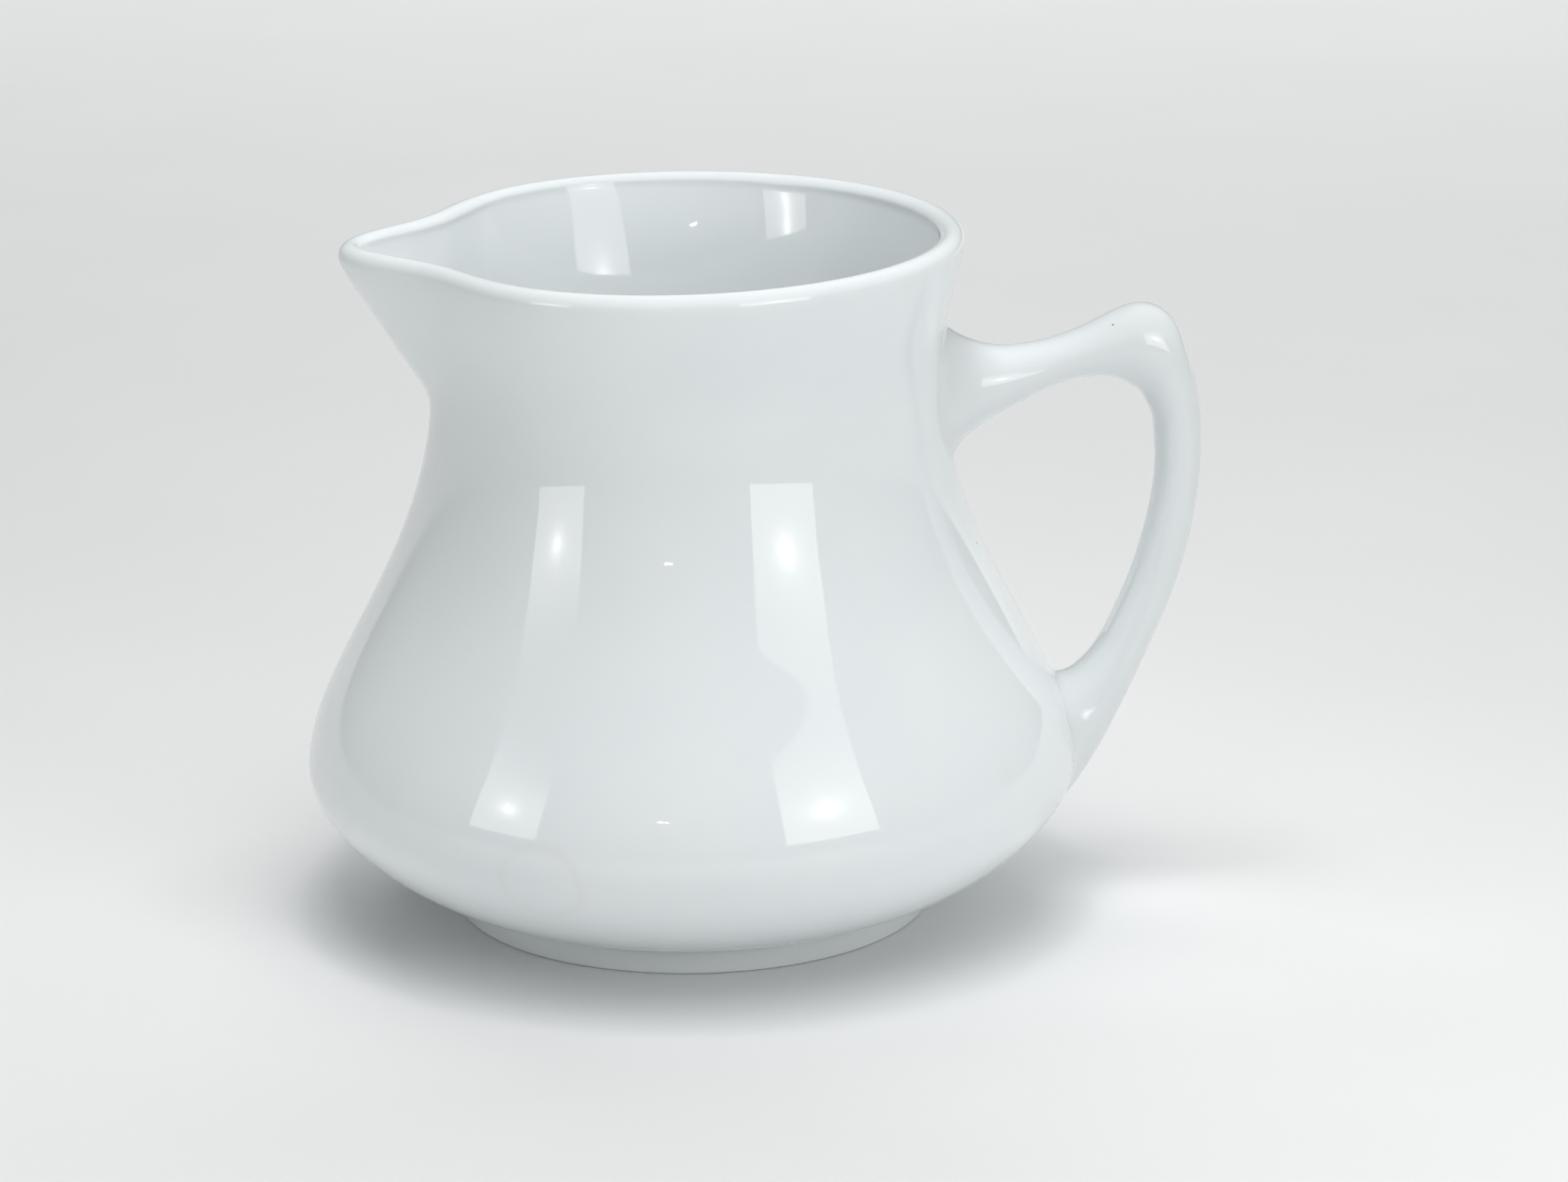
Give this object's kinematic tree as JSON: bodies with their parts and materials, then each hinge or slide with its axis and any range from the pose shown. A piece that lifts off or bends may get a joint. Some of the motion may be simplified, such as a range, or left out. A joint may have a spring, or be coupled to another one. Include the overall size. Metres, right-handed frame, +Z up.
{
  "type": "ceramic pitcher",
  "caption": "Small white glazed pitcher with a bell-shaped pot on a low foot ring, a pulled V-shaped pouring lip and an ear handle with a thumb knuckle.",
  "frame": {"origin": "centre of the pitcher's bounding box, on the surface that it stands on", "axes": "+Z up, the pouring lip points to -X and the handle to +X, in the XZ plane of symmetry"},
  "size_m": [0.1379, 0.1176, 0.1055],
  "materials": {
    "glazed_china": "clear gloss glaze over white vitrified china",
    "bare_china": "unglazed, wiped and ground foot"
  },
  "bodies": {
    "root": {"body": "glazed_china", "spout": "glazed_china", "handle": "glazed_china", "foot_ring": "glazed_china"}
  },
  "joints": []
}
